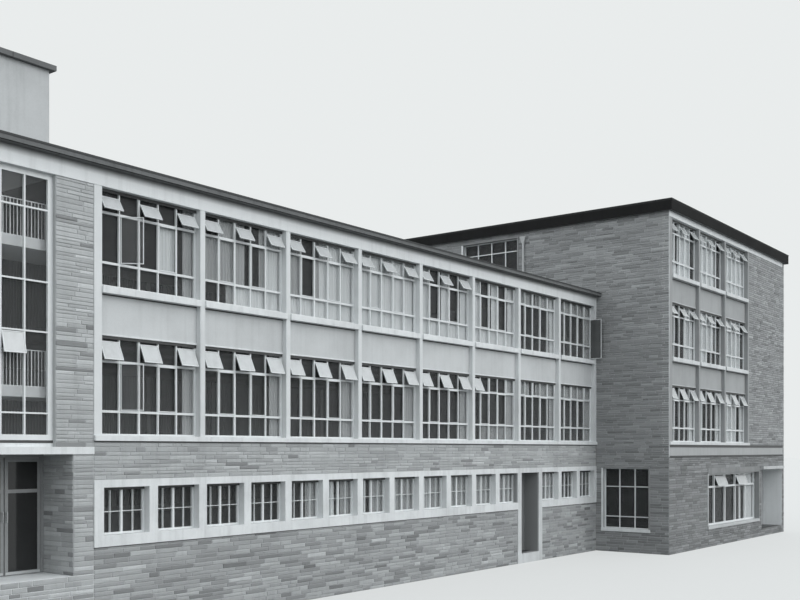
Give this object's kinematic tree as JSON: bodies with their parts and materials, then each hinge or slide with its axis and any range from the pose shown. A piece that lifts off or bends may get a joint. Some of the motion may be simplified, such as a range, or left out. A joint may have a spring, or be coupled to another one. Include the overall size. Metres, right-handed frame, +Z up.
{
  "type": "school building, 1:2 scale model",
  "caption": "School building at half size: a long block with ribbon windows, a stair bay with a porch, and a taller stone wing at right angles; hinged doors.",
  "frame": {"origin": "centre of the bounding box, on the ground under the lowest walls", "axes": "+X along the front from the stair bay to the wing, +Y from the front into the building, +Z up"},
  "size_m": [22.775, 7.795, 7.085],
  "materials": {
    "stone_walling": "long thin courses of split-face stone",
    "white_concrete": "smooth painted cast concrete",
    "spandrel_panel": "smooth pale rendered panel",
    "floor_concrete": "trowelled concrete",
    "roof_felt": "mineral roofing felt with chippings",
    "roof_edge": "dark painted metal roof edge",
    "window_steel": "white gloss paint on rolled steel",
    "glass": "clear drawn sheet glass",
    "guard_steel": "grey painted steel bars",
    "screen_timber": "painted timber screen",
    "door_timber": "dark painted timber door",
    "pipe_iron": "painted cast iron pipe"
  },
  "bodies": {
    "building": {"main_floors": "floor_concrete", "main_roof_deck": "roof_felt", "main_roof_fascia": "roof_edge", "main_base_walls": "stone_walling", "main_band_walls": "stone_walling", "ground_surrounds": "white_concrete", "ground_windows": "window_steel", "facade_posts": "white_concrete", "window_sills": "white_concrete", "spandrel_panels": "spandrel_panel", "edge_beams": "white_concrete", "first_floor_windows": "window_steel", "second_floor_windows": "window_steel", "third_floor_windows": "window_steel", "window_glass": "glass", "doorway_lining": "white_concrete", "stair_piers": "stone_walling", "left_end_wall": "stone_walling", "stair_rear_wall": "stone_walling", "stair_window": "window_steel", "stair_glass": "glass", "stair_landings": "floor_concrete", "landing_balustrades": "guard_steel", "stair_hall_floor": "floor_concrete", "porch_piers": "stone_walling", "porch_lintel": "white_concrete", "porch_screen": "screen_timber", "tank_room_walls": "spandrel_panel", "tank_room_roof": "roof_edge", "wing_floors": "floor_concrete", "wing_roof_deck": "roof_felt", "wing_roof_fascia": "roof_edge", "wing_side_wall": "stone_walling", "wing_end_wall": "stone_walling", "wing_front_wall": "stone_walling", "wing_rear_wall": "stone_walling", "wing_side_windows": "window_steel", "wing_screen": "screen_timber", "wing_glass": "glass", "wing_entrance": "white_concrete", "wing_door": "door_timber", "rainwater_pipe": "pipe_iron"},
    "side_door_leaf": {"side_door": "door_timber"},
    "porch_door_left_leaf": {"porch_door_left": "screen_timber"},
    "porch_door_right_leaf": {"porch_door_right": "screen_timber"}
  },
  "joints": [
    {"name": "side_door_hinge", "type": "hinge", "parent": "building", "child": "side_door_leaf", "pos_m": [0.92275, -1.8435, 0], "axis": [0, 0, 1], "range_deg": [0, 90]},
    {"name": "porch_left_hinge", "type": "hinge", "parent": "building", "child": "porch_door_left_leaf", "pos_m": [-9.7125, -1.6615, 0], "axis": [0, 0, -1], "range_deg": [0, 90]},
    {"name": "porch_right_hinge", "type": "hinge", "parent": "building", "child": "porch_door_right_leaf", "pos_m": [-8.8025, -1.6615, 0], "axis": [0, 0, 1], "range_deg": [0, 90]}
  ]
}
